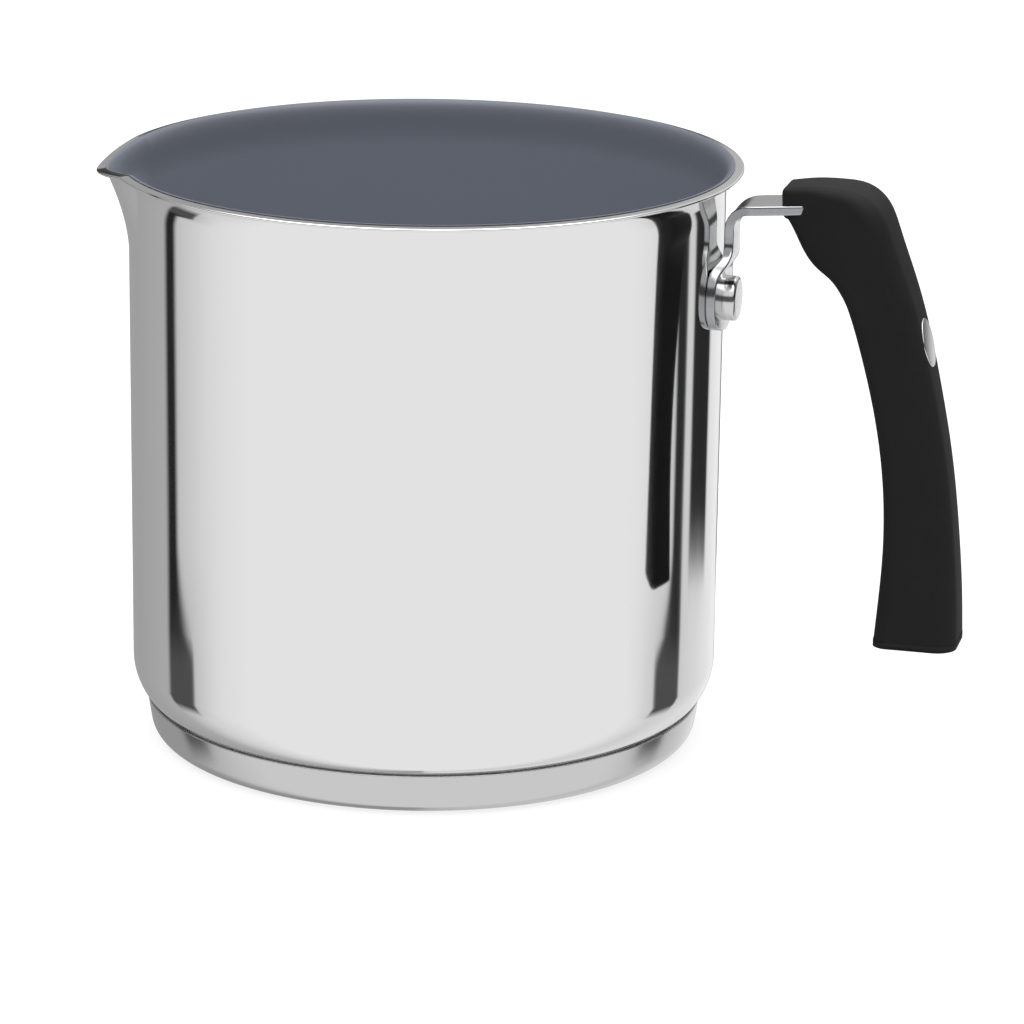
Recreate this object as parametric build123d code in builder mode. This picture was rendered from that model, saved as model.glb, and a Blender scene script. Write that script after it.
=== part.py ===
"""Two-litre milk pan: drawn steel vessel with a pinched spout, bonded base and hanging side grip.

Millimetres, +Z up. The origin is the centre of the base's underside, and +X points to the grip.
Radii and heights are measured from that origin unless a comment says otherwise.
"""

from build123d import *
from math import acos, atan, atan2, cos, degrees, radians, sin, sqrt, tan
import os

# Vessel
nominal_bore = 140.0  # inner diameter, the pan's trade size
wall = 0.7
rim_height = 140.8
base_height = 6.0  # underside of the drawn floor above the table
floor_corner_radius = 13.7  # outside of the drawn corner
flare_radius = 5.2  # underside of the rolled-out lip
lip_sweep = 77.0  # degrees that the lip turns outward
overrun = 2.0  # how far cutting shapes pass the face they cut
join_tolerance = 0.001  # the spout's foot follows the round wall to within this

body_radius = nominal_bore / 2 + wall
flare_start = rim_height - (flare_radius + wall) * sin(radians(lip_sweep))

# Spout, pinched out of the wall on the side away from the grip
spout_azimuth = 195.0  # degrees from the grip
spout_half_angle = 18.0
spout_throw = 4.1  # how far the ridge stands out where its lip begins
spout_drop = 0.55  # and how much lower its lip begins there
spout_depth = 15.0  # height of the ridge below the lip
spout_flare_radius = 4.2
spout_lip_sweep = 68.0  # the drawn-out lip is turned less than the rest
spout_angle_shares = (-1.0, -0.76, -0.52, -0.30, -0.12, 0.0, 0.12, 0.30, 0.52, 0.76, 1.0)
spout_rise_shares = (0.0, 0.26, 0.53, 0.77, 0.945, 1.0, 0.945, 0.77, 0.53, 0.26, 0.0)

# Coating on the inside
coat = 0.2
bond_gap = 0.02  # keeps the coating's skin clear of the steel
coat_sweep = 57.0  # degrees up the flare where the coating ends
spout_coat_sweep = 46.0

# Bonded base
cap_sheet = 0.6
cap_inset = 3.3  # from the vessel's wall in to the cap's rim
cap_taper = 1.1  # the cap's foot is this much smaller in radius than its rim
cap_corner_radius = 4.5
seam_gap = 0.12

cap_rim_radius = body_radius - cap_inset
cap_foot_radius = cap_rim_radius - cap_taper

# Handle strap: heights hang from the rim, reaches count from the wall
strap = 2.2
strap_width = 14.0
neck_width = 8.4
pad_width = 22.0
pad_drop = 36.0  # from the rim down to the pad's foot
pad_height = 16.2  # from the pad's foot to its shoulders
pad_corner_radius = 5.0
pad_crown = 3.6  # how far the pad's lower edge bows down
shoulder_radius = 4.2
waist_radius = 2.2
jog_radius = 5.0
jog_offset = 2.0
bend_drop = 11.6  # from the rim down to the start of the bend
bend_radius = 5.6
neck_share = 0.62  # of the height between pad and bend, the part above the jog
strap_rise = 4.5  # degrees that the strap climbs towards the grip
strap_reach = 26.0
seat_gap = 0.03

pad_foot = rim_height - pad_drop
pad_shoulder = pad_foot + pad_height
bend_start = rim_height - bend_drop

# Rivet
rivet_rise = 7.5  # above the pad's foot
shank_diameter = 5.0
rivet_head_diameter = 10.6
rivet_head = 2.8
rivet_head_edge = 0.9
rivet_tail_diameter = 11.6
rivet_tail = 1.5
rivet_tail_edge = 0.8
hole_gap = 0.1

rivet_height = pad_foot + rivet_rise

# Grip, moulded in one piece
nose_reach = 14.3  # from the wall out to the grip's nose
grip_span = 46.0  # from the nose out to the outer face at the foot
grip_length = 111.2
grip_rise = 0.6  # above the rim
grip_edge_radius = 2.9
grip_foot_radius = 1.6
nose_width = 12.6
web_width = 21.0
waist_width = 17.6
foot_width = 19.4
pocket_gap = 0.15

nose_radius = body_radius + nose_reach
grip_top = rim_height + grip_rise
grip_foot = grip_top - grip_length

# Side outline of the grip: shares of its span from the nose and of its length from the foot.
# The faces run on below the foot, where the grip is cut flat.
outer_face_shares = ((0.556, 0.944), (0.700, 0.782), (0.852, 0.549), (0.954, 0.290), (1.003, -0.055))
inner_face_shares = ((0.568, -0.055), (0.604, 0.241), (0.541, 0.515), (0.435, 0.695), (0.346, 0.782))
knee_shares = (0.287, 0.811)
chin_shares = ((0.217, 0.831), (0.117, 0.886), (0.046, 0.933))
lip_shares = (0.0, 0.953)
brow_shares = (0.0, 0.996)
crown_shares = ((0.110, 0.997), (0.296, 1.0), (0.461, 0.987))
waist_rise_share = 0.45
flank_span_shares = (0.17, 0.42, 1.04)  # where the plan view swells from the nose to past the web
flank_width_shares = (0.72, 1.0, 1.5)
soft_edge_share = 0.95  # the edges' radius stays within this much of the short step under the nose

# Inlay on the grip's outer face
inlay_place_share = 0.28  # along the outer face, from its top
inlay_diameter = 11.6
inlay_sheet = 1.2
inlay_stand = 0.35
inlay_edge = 0.25
inlay_gap = 0.1

# Screw from below through the grip's web into the strap
screw_inset = 12.0  # from the grip's nose
screw_diameter = 4.0
screw_head_diameter = 7.4
screw_head = 2.6
screw_head_edge = 0.7
screw_web = 6.0  # moulding between the screw's head and the strap
screw_end_stand = 1.5  # past the strap
screw_gap = 0.05
screw_head_gap = 0.2
screw_recess_depth = 1.3
screw_recess_width = 1.1
screw_recess_length = 4.4


def radial_plane(azimuth):
    """The upright plane through the pan's axis: local x runs outward and local y up."""
    outward = (cos(radians(azimuth)), sin(radians(azimuth)), 0)
    across = (sin(radians(azimuth)), -cos(radians(azimuth)), 0)
    return Plane(origin=(0, 0, 0), x_dir=outward, z_dir=across)


def blend(low, high, share):
    return low + (high - low) * share


def rim_section(share, skin_out, skin_in, sweep):
    """One upright cut through the rim, between two depths measured in from the outer face.

    share is 0 on the round wall and 1 on the spout's ridge, where the wall leans out.
    """
    foot = flare_start - spout_depth
    start = Vector(body_radius + spout_throw * share, flare_start - spout_drop * share)
    lean = atan2(start.X - body_radius, start.Y - foot)
    along = Vector(sin(lean), cos(lean))
    out = Vector(cos(lean), -sin(lean))
    radius = blend(flare_radius, spout_flare_radius, share)
    centre = start + out * radius
    turn = radians(sweep)

    def on_flare(depth, angle):
        return centre + (along * sin(angle) - out * cos(angle)) * (radius + depth)

    with BuildLine() as section:
        Line((body_radius - skin_out, foot), start - out * skin_out)
        ThreePointArc(start - out * skin_out, on_flare(skin_out, turn / 2), on_flare(skin_out, turn))
        Line(on_flare(skin_out, turn), on_flare(skin_in, turn))
        ThreePointArc(on_flare(skin_in, turn), on_flare(skin_in, turn / 2), start - out * skin_in)
        Line(start - out * skin_in, (body_radius - skin_in, foot))
        Line((body_radius - skin_in, foot), (body_radius - skin_out, foot))
    return section.line


def drawn_skin(skin_out, skin_in, sweep, spout_sweep):
    """A sheet that follows the vessel from the floor's centre to the lip, spout included."""
    corner = (body_radius - floor_corner_radius, base_height + floor_corner_radius)
    foot = flare_start - spout_depth
    with BuildPart() as skin:
        with BuildSketch(Plane.XZ):
            with BuildLine():
                rings = []
                for depth in (skin_out, skin_in):
                    radius = floor_corner_radius - depth
                    knee = (corner[0] + radius * cos(radians(45)), corner[1] - radius * sin(radians(45)))
                    Line((0, corner[1] - radius), (corner[0], corner[1] - radius))
                    ThreePointArc((corner[0], corner[1] - radius), knee, (corner[0] + radius, corner[1]))
                    Line((corner[0] + radius, corner[1]), (corner[0] + radius, foot))
                    rings.append(corner[0] + radius)
                Line((rings[0], foot), (rings[1], foot))
                Line((0, corner[1] - floor_corner_radius + skin_out), (0, base_height + skin_in))
            make_face()
        revolve(axis=Axis.Z)
        with BuildSketch(radial_plane(spout_azimuth + spout_half_angle)):
            make_face(rim_section(0, skin_out, skin_in, sweep).edges())
        revolve(axis=Axis.Z, revolution_arc=360 - 2 * spout_half_angle)
    with BuildPart() as spout:
        for angle_share, rise_share in zip(spout_angle_shares, spout_rise_shares):
            turn = blend(sweep, spout_sweep, rise_share)
            with BuildSketch(radial_plane(spout_azimuth + spout_half_angle * angle_share)):
                make_face(rim_section(rise_share, skin_out, skin_in, turn).edges())
        loft()
    return skin.part.fuse(spout.part, tol=join_tolerance)


rivet_axis = Plane(origin=(0, 0, rivet_height), x_dir=(0, 1, 0), z_dir=(1, 0, 0))
upright = (Align.CENTER, Align.CENTER, Align.MIN)

# The vessel: one deep-drawn sheet with the lip rolled out and the spout pressed in
with BuildPart() as pan_body:
    add(drawn_skin(0, wall, lip_sweep, spout_lip_sweep))
    with BuildSketch(rivet_axis):
        Circle(shank_diameter / 2 + hole_gap)
    extrude(amount=body_radius + overrun, mode=Mode.SUBTRACT)

coat_out = wall + bond_gap
coat_in = coat_out + coat

# The coating: a skin over the whole inside, ending part way up the flare
with BuildPart() as nonstick_coating:
    add(drawn_skin(coat_out, coat_in, coat_sweep, spout_coat_sweep))
    with BuildSketch(rivet_axis):
        Circle(shank_diameter / 2 + hole_gap)
    extrude(amount=body_radius + overrun, mode=Mode.SUBTRACT)


def floor_height_at(radius):
    """Height of the drawn corner's outer face at a radius."""
    reach = radius - (body_radius - floor_corner_radius)
    return base_height + floor_corner_radius - sqrt(floor_corner_radius**2 - reach**2)


cap_rim_height = floor_height_at(cap_rim_radius - cap_sheet) - seam_gap

# The base cap: a pressed cup whose rim stops just short of the drawn corner
with BuildPart() as base_cap:
    with BuildSketch(Plane.XZ):
        with BuildLine():
            Polyline(
                (0, 0),
                (cap_foot_radius, 0),
                (cap_rim_radius, cap_rim_height),
                (cap_rim_radius - cap_sheet, cap_rim_height),
                (cap_foot_radius - cap_sheet, cap_sheet),
                (0, cap_sheet),
                close=True,
            )
        make_face()
        outer_corner = vertices().sort_by_distance((cap_foot_radius, 0))[0]
        fillet(outer_corner, radius=cap_corner_radius)
        inner_corner = vertices().sort_by_distance((cap_foot_radius - cap_sheet, cap_sheet))[0]
        fillet(inner_corner, radius=cap_corner_radius - cap_sheet)
    revolve(axis=Axis.Z)

# The heat-spreading disc fills the space between cap and vessel
with BuildPart() as base_core:
    with BuildSketch(Plane.XZ):
        with BuildLine():
            Polyline(
                (0, cap_sheet),
                (cap_foot_radius - cap_sheet, cap_sheet),
                (cap_rim_radius - cap_sheet, cap_rim_height),
                (0, cap_rim_height),
                close=True,
            )
        make_face()
        disc_corner = vertices().sort_by_distance((cap_foot_radius - cap_sheet, cap_sheet))[0]
        fillet(disc_corner, radius=cap_corner_radius - cap_sheet)
    revolve(axis=Axis.Z)
    with BuildSketch(Plane.XZ):
        with BuildLine():
            corner_x = body_radius - floor_corner_radius
            corner_z = base_height + floor_corner_radius
            knee_reach = floor_corner_radius * cos(radians(45))
            Line((0, base_height), (corner_x, base_height))
            ThreePointArc(
                (corner_x, base_height),
                (corner_x + knee_reach, corner_z - knee_reach),
                (body_radius, corner_z),
            )
            Line((body_radius, corner_z), (0, corner_z))
            Line((0, corner_z), (0, base_height))
        make_face()
    revolve(axis=Axis.Z, mode=Mode.SUBTRACT)

# Centre line of the strap, from the pad's foot up to the end of its tang
pad_radius = body_radius + seat_gap + strap / 2
jog_angle = degrees(acos(1 - jog_offset / (2 * jog_radius)))
jog_rise = 2 * jog_radius * sin(radians(jog_angle))
jog_start = blend(bend_start, pad_shoulder, neck_share) - jog_rise

with BuildLine() as strap_line:
    pad_run = Line((pad_radius, pad_foot - overrun), (pad_radius, jog_start))
    jog_out = JernArc(pad_run @ 1, (0, 1), jog_radius, -jog_angle)
    jog_back = JernArc(jog_out @ 1, jog_out % 1, jog_radius, jog_angle)
    neck_run = Line(jog_back @ 1, ((jog_back @ 1).X, bend_start))
    bend = JernArc(neck_run @ 1, (0, 1), bend_radius, strap_rise - 90)
    tang_run = Line(bend @ 1, bend @ 1 + (bend % 1) * strap_reach)

tang_start = tang_run @ 0
tang_end = tang_run @ 1
fan = degrees(atan(pad_width / body_radius))  # degrees each side, wider than the pad


def tang_height_at(radius):
    """Height of the strap's centre line where it runs inside the grip."""
    return tang_start.Y + (radius - tang_start.X) * tan(radians(strap_rise))


screw_radius = nose_radius + screw_inset
screw_seat = tang_height_at(screw_radius) - strap / 2 - screw_web
screw_end = tang_height_at(screw_radius) + strap / 2 + screw_end_stand
screw_axis = Plane(origin=(screw_radius, 0, 0), x_dir=(1, 0, 0), z_dir=(0, 0, 1))

# The bracket: one stamped strip with a curved pad, a jog out under the lip and a bend to the tang
with BuildPart() as handle_bracket:
    with BuildSketch(radial_plane(-fan)):
        trace(strap_line.edges(), line_width=strap)
    revolve(axis=Axis.Z, revolution_arc=2 * fan)
    with BuildSketch(Plane.YZ):
        with BuildLine():
            right = [
                (pad_width / 2, pad_foot + pad_crown),
                (pad_width / 2, pad_shoulder),
                (neck_width / 2, jog_start + jog_rise),
                (neck_width / 2, bend_start - strap / 2),
                (strap_width / 2, bend_start + bend_radius),
                (strap_width / 2, grip_top),
            ]
            left = [(-y, z) for y, z in reversed(right)]
            Polyline(*right, *left)
            ThreePointArc(left[-1], (0, pad_foot), right[0])
        make_face()
        levels = vertices().group_by(Axis.Y)
        fillet(levels[2] + levels[3], radius=waist_radius)
        fillet(levels[1], radius=shoulder_radius)
        fillet(vertices().group_by(Axis.Y)[0], radius=pad_corner_radius)
    extrude(amount=tang_end.X + overrun, mode=Mode.INTERSECT)
    with BuildSketch(rivet_axis):
        Circle(shank_diameter / 2 + hole_gap)
    extrude(amount=tang_end.X, mode=Mode.SUBTRACT)
    with BuildSketch(screw_axis.offset(screw_seat)):
        Circle(screw_diameter / 2 + screw_gap)
    extrude(amount=grip_length, mode=Mode.SUBTRACT)

pad_face = body_radius + seat_gap + strap + seat_gap
coat_face = body_radius - coat_in - seat_gap

# The rivet's tail, flattened against the coating
with BuildPart() as tail_disc:
    with BuildSketch(rivet_axis.offset(coat_face - rivet_tail)):
        Circle(rivet_tail_diameter / 2)
    extrude(amount=rivet_tail + overrun)
    fillet(faces().sort_by(Axis.X)[0].edges(), radius=rivet_tail_edge)
    Cylinder(coat_face, rim_height, align=upright, mode=Mode.INTERSECT)

# The rivet's cylindrical head, hollowed underneath to the curve of the pad
with BuildPart() as head_disc:
    with BuildSketch(rivet_axis.offset(pad_face - overrun)):
        Circle(rivet_head_diameter / 2)
    extrude(amount=rivet_head + overrun)
    fillet(faces().sort_by(Axis.X)[-1].edges(), radius=rivet_head_edge)
    Cylinder(pad_face, rim_height, align=upright, mode=Mode.SUBTRACT)

# The rivet in one piece
with BuildPart() as bracket_rivet:
    with BuildSketch(rivet_axis.offset(coat_face - rivet_tail / 2)):
        Circle(shank_diameter / 2)
    extrude(amount=pad_face + rivet_head / 2 - coat_face + rivet_tail / 2)
    add(tail_disc.part)
    add(head_disc.part)

# The pocket that the strap's tang fills, open at the grip's nose
with BuildPart() as tang_pocket:
    with BuildSketch(radial_plane(-fan)):
        with BuildLine():
            Line(tang_start, tang_end + (tang_run % 1) * pocket_gap)
        trace(line_width=strap + 2 * pocket_gap)
    revolve(axis=Axis.Z, revolution_arc=2 * fan)
    with BuildSketch(Plane.YZ):
        Rectangle(strap_width + 2 * pocket_gap, 2 * grip_top)
    extrude(amount=tang_end.X + overrun, mode=Mode.INTERSECT)


def grip_point(shares):
    """A point of the grip's side outline."""
    span_share, rise_share = shares
    return (nose_radius + grip_span * span_share, grip_foot + grip_length * rise_share)


knee_point = grip_point(knee_shares)
sole_height = grip_point(outer_face_shares[-1])[1]
nose_step = Vector(*grip_point(chin_shares[-1])) - Vector(*grip_point(lip_shares))
soft_edge = min(grip_edge_radius, nose_step.length * soft_edge_share)

# The grip: a curved bar that hangs beside the pan, with soft edges and a flat cut foot
with BuildPart() as handle_grip:
    with BuildSketch(Plane.XZ):
        with BuildLine():
            outer_face = Spline(*[grip_point(shares) for shares in outer_face_shares])
            inner_face = Spline(*[grip_point(shares) for shares in inner_face_shares])
            Line(outer_face @ 1, inner_face @ 0)
            ThreePointArc(inner_face @ 1, knee_point, grip_point(chin_shares[0]))
            chin = Spline(*[grip_point(shares) for shares in chin_shares])
            crown = Spline(*[grip_point(shares) for shares in crown_shares], outer_face @ 0)
            Polyline(chin @ 1, grip_point(lip_shares), grip_point(brow_shares), crown @ 0)
        make_face()
    extrude(amount=web_width, both=True)
    with BuildSketch(Plane.YZ):
        with BuildLine():
            side = Spline(
                (web_width / 2, grip_top + overrun),
                (web_width / 2, knee_point[1]),
                (waist_width / 2, blend(grip_foot, grip_top, waist_rise_share)),
                (foot_width / 2, sole_height),
            )
            far_side = mirror(side, about=Plane.YZ)
            Line(side @ 0, far_side @ 0)
            Line(side @ 1, far_side @ 1)
        make_face()
    extrude(amount=nose_radius + 2 * grip_span, mode=Mode.INTERSECT)
    with BuildSketch(Plane.XY.offset(sole_height)):
        with BuildLine():
            flank = Spline(
                (nose_radius, nose_width / 2),
                *[
                    (nose_radius + grip_span * span_share, web_width * width_share / 2)
                    for span_share, width_share in zip(flank_span_shares, flank_width_shares)
                ],
            )
            far_flank = mirror(flank, about=Plane.XZ)
            Line(flank @ 0, far_flank @ 0)
            Line(flank @ 1, far_flank @ 1)
        make_face()
    extrude(amount=2 * grip_length, mode=Mode.INTERSECT)
    fillet(edges(), radius=soft_edge)
    split(bisect_by=Plane.XY.offset(grip_foot), keep=Keep.TOP)
    fillet(faces().sort_by(Axis.Z)[0].edges(), radius=grip_foot_radius)

    add(tang_pocket.part, mode=Mode.SUBTRACT)
    with BuildSketch(screw_axis.offset(screw_seat)):
        Circle(screw_diameter / 2 + screw_gap)
    extrude(amount=screw_end + screw_gap - screw_seat, mode=Mode.SUBTRACT)
    with BuildSketch(screw_axis.offset(screw_seat)):
        Circle(screw_head_diameter / 2 + screw_head_gap)
    extrude(amount=-grip_length, mode=Mode.SUBTRACT)

    inlay_point = outer_face @ inlay_place_share
    inlay_slope = outer_face % inlay_place_share
    inlay_face = Plane(
        origin=(inlay_point.X, 0, inlay_point.Y),
        x_dir=(0, 1, 0),
        z_dir=(-inlay_slope.Y, 0, inlay_slope.X),
    )
    with BuildSketch(inlay_face.offset(inlay_stand - inlay_sheet)):
        Circle(inlay_diameter / 2 + inlay_gap)
    extrude(amount=inlay_sheet + overrun, mode=Mode.SUBTRACT)

# The inlay: a thin round plate, left bare
with BuildPart() as handle_medallion:
    with BuildSketch(inlay_face.offset(inlay_stand - inlay_sheet)):
        Circle(inlay_diameter / 2)
    extrude(amount=inlay_sheet)
    fillet(faces().sort_by(Axis.X)[-1].edges(), radius=inlay_edge)

# The screw, driven up from below
with BuildPart() as grip_screw:
    with BuildSketch(screw_axis.offset(screw_seat - screw_head)):
        Circle(screw_head_diameter / 2)
    extrude(amount=screw_head)
    fillet(faces().sort_by(Axis.Z)[0].edges(), radius=screw_head_edge)
    with BuildSketch(screw_axis.offset(screw_seat)):
        Circle(screw_diameter / 2)
    extrude(amount=screw_end - screw_seat)
    with BuildSketch(screw_axis.offset(screw_seat - screw_head)):
        Rectangle(screw_recess_length, screw_recess_width)
        Rectangle(screw_recess_width, screw_recess_length)
    extrude(amount=screw_recess_depth, mode=Mode.SUBTRACT)

os.makedirs("parts", exist_ok=True)
pan_body.part.label = "pan_body"
export_step(pan_body.part, "parts/pan_body.step")
nonstick_coating.part.label = "nonstick_coating"
export_step(nonstick_coating.part, "parts/nonstick_coating.step")
base_cap.part.label = "base_cap"
export_step(base_cap.part, "parts/base_cap.step")
base_core.part.label = "base_core"
export_step(base_core.part, "parts/base_core.step")
handle_bracket.part.label = "handle_bracket"
export_step(handle_bracket.part, "parts/handle_bracket.step")
bracket_rivet.part.label = "bracket_rivet"
export_step(bracket_rivet.part, "parts/bracket_rivet.step")
handle_grip.part.label = "handle_grip"
export_step(handle_grip.part, "parts/handle_grip.step")
handle_medallion.part.label = "handle_medallion"
export_step(handle_medallion.part, "parts/handle_medallion.step")
grip_screw.part.label = "grip_screw"
export_step(grip_screw.part, "parts/grip_screw.step")
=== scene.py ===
"""A two-litre milk pan in polished steel, dressed around its construction model.

Metres, +Z up. Lengths below are written in millimetres and turned to metres by MM. The pan stands on
the floor with its axis on Z, and its grip points along +X.
"""

from math import acos, asin, atan2, cos, degrees, pi, radians, sin, sqrt

import bmesh
import bpy
import numpy as np
from mathutils import Matrix, Vector


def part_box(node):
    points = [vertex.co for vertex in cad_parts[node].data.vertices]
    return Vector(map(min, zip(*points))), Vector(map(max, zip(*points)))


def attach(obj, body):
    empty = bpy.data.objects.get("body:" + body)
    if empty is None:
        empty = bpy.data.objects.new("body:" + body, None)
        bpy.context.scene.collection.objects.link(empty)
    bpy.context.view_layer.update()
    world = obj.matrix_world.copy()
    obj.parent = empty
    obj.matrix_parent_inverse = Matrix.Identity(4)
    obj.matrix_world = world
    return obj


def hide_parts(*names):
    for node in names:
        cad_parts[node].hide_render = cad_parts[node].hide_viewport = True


MM = 0.001
merge_distance = 0.001 * MM

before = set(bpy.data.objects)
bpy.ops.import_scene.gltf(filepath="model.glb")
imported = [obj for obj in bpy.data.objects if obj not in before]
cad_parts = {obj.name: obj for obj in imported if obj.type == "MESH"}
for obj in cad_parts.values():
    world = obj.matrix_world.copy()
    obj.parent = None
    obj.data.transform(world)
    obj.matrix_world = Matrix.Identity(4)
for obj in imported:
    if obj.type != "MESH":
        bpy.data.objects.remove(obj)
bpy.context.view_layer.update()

# Vessel, in millimetres
bore = 140.0
wall = 0.7
rim_height = 140.8
base_height = 6.0
corner_radius = 13.7
lip_round = 0.3
body_radius = bore / 2 + wall

# The inside of the wall near the rim, as (radius, height) places: where it starts to flare, the
# crown where the coating ends, and the end of the flat lip
flare_at = (70.0, 133.6)
crown_at = (72.6, 140.92)
lip_at = (74.55, 140.66)

# Pinched spout
spout_azimuth = 195.0
spout_half_angle = 18.0
ridge_foot = 120.05  # the spout starts on the wall at this height
ridge_bend = (70.44, 126.4)  # the ridge leans out more above here
ridge_flare_at = (74.1, 135.0)
ridge_crown_at = (76.1, 138.35)
ridge_lip_at = (78.0, 138.0)
spout_swell = 1.0  # above 1, the spout narrows towards its ridge
ridge_softness = 0.13  # how round the ridge is, as a share of the half angle

# Coating inside
coat = 0.2
bond_gap = 0.02
# Painted shade on the coating: its colour darkens towards the lip, against the light the upturned flare
# catches
painted_shade_start = 130.5  # its tone darkens from this height up to the next
painted_shade_end = 140.0

# Bonded base
cap_sheet = 0.6
cap_rim_radius = body_radius - 3.3
cap_foot_radius = cap_rim_radius - 1.1
cap_corner_radius = 4.5
cap_corner_out = 0.2  # the side leans out this far by the top of its corner
cap_rim_edge = 0.18
seam_gap = 0.12

# Handle strap
strap = 2.2
strap_half = 7.0
pad_half = 11.0
pad_foot = rim_height - 36.0
pad_height = 16.2
pad_crown = 3.6
pad_corner = 6.5
jog_radius = 5.0
jog_offset = 2.0
bend_start = rim_height - 11.6
bend_radius = 5.6
neck_share = 0.62  # the jog ends this far down from the bend towards the pad's top
strap_rise = 4.5  # degrees by which the arm climbs towards the grip
edge_round = 0.35
face_inset = 0.08  # from the edge's rounding to where a face is flat
sheared_share = 0.9  # how much of the rounding still counts as cut edge
spine_share = 0.6  # where the faces' middle line starts, in half pads from the foot
shoulder_radius = 9.0
waist_radius = 3.5
neck_radius = 12.0
tang_corner = 1.0
strap_length = 59.2
outline_step = 0.4
# Corners of the flat outline above the foot, as (half width, place along the strap)
strap_side = ((11.0, 12.8), (4.2, 20.6), (4.2, 25.4), (7.0, 33.4))
seat_gap = 0.03

# Rivet
rivet_height = pad_foot + 7.5
rivet_shank = 2.5
rivet_head_radius = 5.3
rivet_head = 2.8
rivet_head_edge = 0.9
rivet_head_set = 0.15  # the head's edge reaches back this far over the curved pad
rivet_tail_radius = 5.8
rivet_tail = 1.5
rivet_tail_edge = 0.8

# Grip
nose = body_radius + 14.3
grip_span = 46.0
grip_length = 111.2
grip_top = rim_height + 0.6
grip_foot = grip_top - grip_length
grip_width = 21.0
nose_corners = (1.5, 2.0)  # radii on the outer side and on the hand's side
grip_corners = (5.2, 3.4)
knot_power = 0.6  # below 1, short steps between sections don't make the curve overshoot
corner_growth = 0.3  # the share of the grip over which the nose's corners grow to the web's
least_corner = 0.25
corner_share = 0.9  # the most of a half width that a corner takes up
corner_loss = 0.7  # how much of an inset comes off a corner's radius
nose_round = 1.2
foot_round = 1.6

# Inlay
inlay_radius = 5.8
inlay_sheet = 1.2
inlay_stand = 0.2
inlay_edge = 0.25


def fill(tree, node, inputs):
    """Fill a node's inputs with values or links."""
    for key, value in inputs.items():
        if isinstance(value, bpy.types.NodeSocket):
            tree.links.new(value, node.inputs[key])
        else:
            node.inputs[key].default_value = value


def add_node(tree, kind, inputs=None, **settings):
    """Add one node to a tree, set its properties, and fill its inputs with values or links."""
    made = tree.nodes.new(kind)
    for name, value in settings.items():
        setattr(made, name, value)
    fill(tree, made, inputs or {})
    return made


def linear(hex_colour):
    """An sRGB hex colour as linear red, green, blue and alpha."""
    channels = [int(hex_colour[i : i + 2], 16) / 255 for i in (1, 3, 5)]
    straight = [c / 12.92 if c <= 0.04045 else ((c + 0.055) / 1.055) ** 2.4 for c in channels]
    return (*straight, 1.0)


def new_material(name):
    """A node material with its output and shader, and the Object coordinates for its patterns."""
    material = bpy.data.materials.new(name)
    material.use_nodes = True
    tree = material.node_tree
    tree.nodes.clear()
    shader = add_node(tree, "ShaderNodeBsdfPrincipled")
    add_node(tree, "ShaderNodeOutputMaterial", {"Surface": shader.outputs[0]})
    place = add_node(tree, "ShaderNodeTexCoord").outputs["Object"]
    return material, tree, shader, place


def drawn_steel_mirror_polished():
    """18/10 stainless, deep drawn and buffed to a mirror: faint polishing haze breaks its reflections."""
    material, tree, shader, place = new_material("drawn_steel_mirror_polished")
    streaks = add_node(tree, "ShaderNodeMapping", {"Vector": place, "Scale": (1.0, 1.0, 0.12)})
    haze = add_node(
        tree,
        "ShaderNodeTexNoise",
        {"Vector": streaks.outputs[0], "Scale": 1 / (6.0 * MM), "Detail": 4.0},
    )
    gloss = add_node(
        tree,
        "ShaderNodeMapRange",
        {"Value": haze.outputs["Fac"], "From Min": 0.3, "From Max": 0.7, "To Min": 0.045, "To Max": 0.075},
    )
    swell = add_node(
        tree, "ShaderNodeTexNoise", {"Vector": place, "Scale": 1 / (45.0 * MM), "Detail": 1.0}
    )
    relief = add_node(
        tree, "ShaderNodeBump", {"Height": swell.outputs["Fac"], "Strength": 0.06, "Distance": 0.3 * MM}
    )
    fill(tree, shader, {"Base Color": linear("#E2E2E2"), "Metallic": 1.0})
    fill(tree, shader, {"Roughness": gloss.outputs[0], "Normal": relief.outputs[0]})
    return material


def sprayed_nonstick():
    """Dark PTFE sprayed on blasted steel: a satin film with a fine orange peel and mica specks.

    The film's colour darkens on the flare as painted shade, against the light its upturned face catches,
    so the inside reads as one even tone up to the lip. The specks are drawn coarser than real mica,
    so that they show.
    """
    material, tree, shader, place = new_material("sprayed_nonstick")
    peel = add_node(
        tree, "ShaderNodeTexNoise", {"Vector": place, "Scale": 1 / (0.8 * MM), "Detail": 3.0}
    )
    specks = add_node(tree, "ShaderNodeTexVoronoi", {"Vector": place, "Scale": 1 / (0.9 * MM)})
    glint = add_node(
        tree,
        "ShaderNodeMapRange",
        {
            "Value": specks.outputs["Distance"],
            "From Min": 0.05,
            "From Max": 0.22,
            "To Min": 1.0,
            "To Max": 0.0,
        },
    )
    tone = add_node(
        tree,
        "ShaderNodeMix",
        {"Factor": glint.outputs[0], "A": linear("#7B808B"), "B": linear("#84878F")},
        data_type="RGBA",
    )
    height = add_node(tree, "ShaderNodeSeparateXYZ", {"Vector": place})
    # Painted shade: the film's colour falls to half from the flare up to the lip, to cancel the light the
    # flare catches
    painted_shade_fade = add_node(
        tree,
        "ShaderNodeMapRange",
        {
            "Value": height.outputs["Z"],
            "From Min": painted_shade_start * MM,
            "From Max": painted_shade_end * MM,
            "To Min": 1.0,
            "To Max": 0.5,
        },
    )
    film = add_node(
        tree,
        "ShaderNodeVectorMath",
        {0: tone.outputs["Result"], "Scale": painted_shade_fade.outputs[0]},
        operation="SCALE",
    )
    relief = add_node(
        tree, "ShaderNodeBump", {"Height": peel.outputs["Fac"], "Strength": 0.25, "Distance": 0.05 * MM}
    )
    fill(tree, shader, {"Roughness": 0.42, "IOR": 1.38})
    fill(tree, shader, {"Base Color": film.outputs[0], "Normal": relief.outputs[0]})
    return material


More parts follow.
